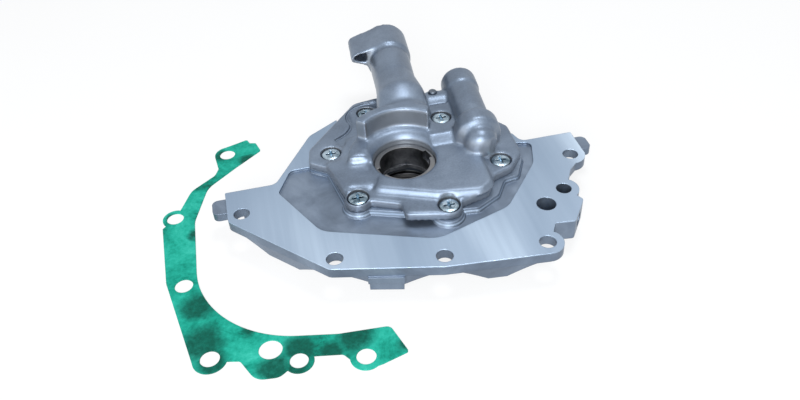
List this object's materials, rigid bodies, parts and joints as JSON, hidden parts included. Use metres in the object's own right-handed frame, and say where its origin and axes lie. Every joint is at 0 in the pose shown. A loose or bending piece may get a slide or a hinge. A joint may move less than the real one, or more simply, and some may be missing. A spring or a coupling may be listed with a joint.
{
  "type": "engine oil pump",
  "caption": "Crank-driven rotor oil pump in a cast front housing, with bolted cover, suction neck, relief valve barrel, crank seal and loose flange gasket.",
  "frame": {"origin": "where the crank axis meets the machined flange face", "axes": "+Z along the crank axis towards the engine block, +X along the sump rail, +Y towards the sump; the pictured camera stands on the -Y side and above"},
  "size_m": [0.2556, 0.2372, 0.0525],
  "materials": {
    "cast_housing": "as cast, satin, with a machined flange face",
    "cast_cover": "as cast, satin",
    "sintered_steel": "ground sintered steel, oiled",
    "seal_steel": "pressed steel",
    "seal_rubber": "matte",
    "bright_steel": "ground",
    "dark_steel": "phosphated",
    "zinc_steel": "zinc plated",
    "gasket_fibre": "green fibre sheet, mottled"
  },
  "bodies": {
    "pump_body": {"front_housing": "cast_housing", "pump_cover": "cast_cover", "crank_seal_case": "seal_steel", "crank_seal_lip": "seal_rubber", "seal_garter_spring": "bright_steel", "relief_spring": "bright_steel", "relief_seat": "bright_steel", "relief_circlip": "dark_steel", "passage_plug": "dark_steel", "gallery_plug": "dark_steel", "flange_gasket": "gasket_fibre", "cover_screw_1": "zinc_steel", "cover_screw_2": "zinc_steel", "cover_screw_3": "zinc_steel", "cover_screw_4": "zinc_steel", "cover_screw_5": "zinc_steel", "cover_screw_6": "zinc_steel", "cover_dowel_1": "bright_steel", "cover_dowel_2": "bright_steel"},
    "inner_rotor_body": {"inner_rotor": "sintered_steel"},
    "outer_rotor_body": {"outer_rotor": "sintered_steel"},
    "piston_body": {"relief_piston": "bright_steel"}
  },
  "joints": [
    {"name": "inner_rotor_spin", "type": "hinge", "parent": "pump_body", "child": "inner_rotor_body", "pos_m": [0, 0, 0], "axis": [0, 0, 1], "continuous": true},
    {"name": "outer_rotor_spin", "type": "hinge", "parent": "pump_body", "child": "outer_rotor_body", "pos_m": [0.00236, 0.0011, 0], "axis": [0, 0, 1], "continuous": true},
    {"name": "relief_slide", "type": "slide", "parent": "pump_body", "child": "piston_body", "axis": [0.0785, 0.9969, 0], "range_m": [0, 0.008], "stiffness_N_per_m": 2500, "springref_m": -0.004, "deforming": ["relief_spring"]}
  ],
  "couplings": [
    {"joint": "outer_rotor_spin", "follows": "inner_rotor_spin", "ratio": 0.9}
  ]
}
